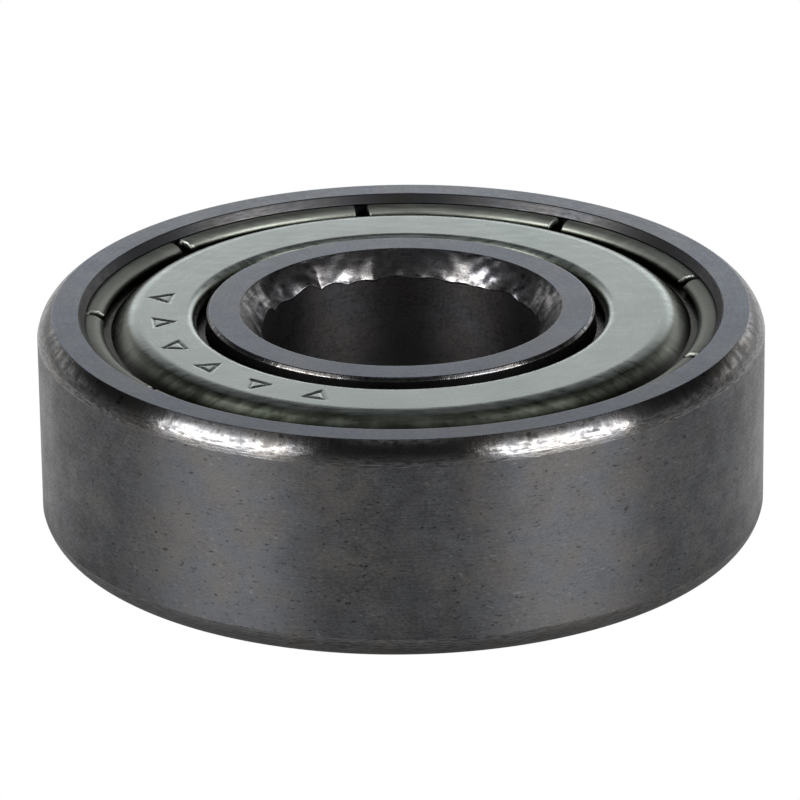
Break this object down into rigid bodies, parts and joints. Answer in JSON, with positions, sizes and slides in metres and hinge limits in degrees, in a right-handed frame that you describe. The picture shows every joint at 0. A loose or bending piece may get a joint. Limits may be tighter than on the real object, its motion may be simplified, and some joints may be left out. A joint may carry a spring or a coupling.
{
  "type": "shielded ball bearing",
  "caption": "Shielded deep-groove ball bearing: plain round inner and outer rings, a metal shield closing each side, riveted ribbon cage and balls between.",
  "frame": {"origin": "centre of the bearing, on the axis of rotation half-way between the side faces", "axes": "+Z along the axis of rotation, towards the side that carries the stamped marks; +X and +Y across the rings, a ball centred on +X at rest"},
  "size_m": [0.026, 0.026, 0.008],
  "materials": {
    "ring_steel": "satin",
    "shield_steel": "satin",
    "cage_steel": "satin",
    "rivet_steel": "satin",
    "ball_steel": "polished"
  },
  "bodies": {
    "outer": {"outer_ring": "ring_steel", "shield_top": "shield_steel", "shield_bottom": "shield_steel"},
    "inner": {"inner_ring": "ring_steel"},
    "cage": {"cage_half_top": "cage_steel", "cage_half_bottom": "cage_steel", "cage_rivet_1": "rivet_steel", "cage_rivet_2": "rivet_steel", "cage_rivet_3": "rivet_steel", "cage_rivet_4": "rivet_steel", "cage_rivet_5": "rivet_steel", "cage_rivet_6": "rivet_steel", "cage_rivet_7": "rivet_steel"},
    "ball_a": {"ball_1": "ball_steel"},
    "ball_b": {"ball_2": "ball_steel"},
    "ball_c": {"ball_3": "ball_steel"},
    "ball_d": {"ball_4": "ball_steel"},
    "ball_e": {"ball_5": "ball_steel"},
    "ball_f": {"ball_6": "ball_steel"},
    "ball_g": {"ball_7": "ball_steel"}
  },
  "joints": [
    {"name": "inner_ring_spin", "type": "hinge", "parent": "outer", "child": "inner", "pos_m": [0, 0, 0], "axis": [0, 0, 1], "continuous": true},
    {"name": "cage_orbit", "type": "hinge", "parent": "outer", "child": "cage", "pos_m": [0, 0, 0], "axis": [0, 0, 1], "continuous": true},
    {"name": "ball_1_spin", "type": "hinge", "parent": "cage", "child": "ball_a", "pos_m": [0.009, 0, 0], "axis": [0, 0, 1], "continuous": true},
    {"name": "ball_2_spin", "type": "hinge", "parent": "cage", "child": "ball_b", "pos_m": [0.00561, 0.00704, 0], "axis": [0, 0, 1], "continuous": true},
    {"name": "ball_3_spin", "type": "hinge", "parent": "cage", "child": "ball_c", "pos_m": [-0.002, 0.00877, 0], "axis": [0, 0, 1], "continuous": true},
    {"name": "ball_4_spin", "type": "hinge", "parent": "cage", "child": "ball_d", "pos_m": [-0.00811, 0.0039, 0], "axis": [0, 0, 1], "continuous": true},
    {"name": "ball_5_spin", "type": "hinge", "parent": "cage", "child": "ball_e", "pos_m": [-0.00811, -0.0039, 0], "axis": [0, 0, 1], "continuous": true},
    {"name": "ball_6_spin", "type": "hinge", "parent": "cage", "child": "ball_f", "pos_m": [-0.002, -0.00877, 0], "axis": [0, 0, 1], "continuous": true},
    {"name": "ball_7_spin", "type": "hinge", "parent": "cage", "child": "ball_g", "pos_m": [0.00561, -0.00704, 0], "axis": [0, 0, 1], "continuous": true}
  ],
  "couplings": [
    {"joint": "cage_orbit", "follows": "inner_ring_spin", "ratio": 0.36771},
    {"joint": "ball_1_spin", "follows": "inner_ring_spin", "ratio": -1.7575},
    {"joint": "ball_2_spin", "follows": "inner_ring_spin", "ratio": -1.7575},
    {"joint": "ball_3_spin", "follows": "inner_ring_spin", "ratio": -1.7575},
    {"joint": "ball_4_spin", "follows": "inner_ring_spin", "ratio": -1.7575},
    {"joint": "ball_5_spin", "follows": "inner_ring_spin", "ratio": -1.7575},
    {"joint": "ball_6_spin", "follows": "inner_ring_spin", "ratio": -1.7575},
    {"joint": "ball_7_spin", "follows": "inner_ring_spin", "ratio": -1.7575}
  ]
}
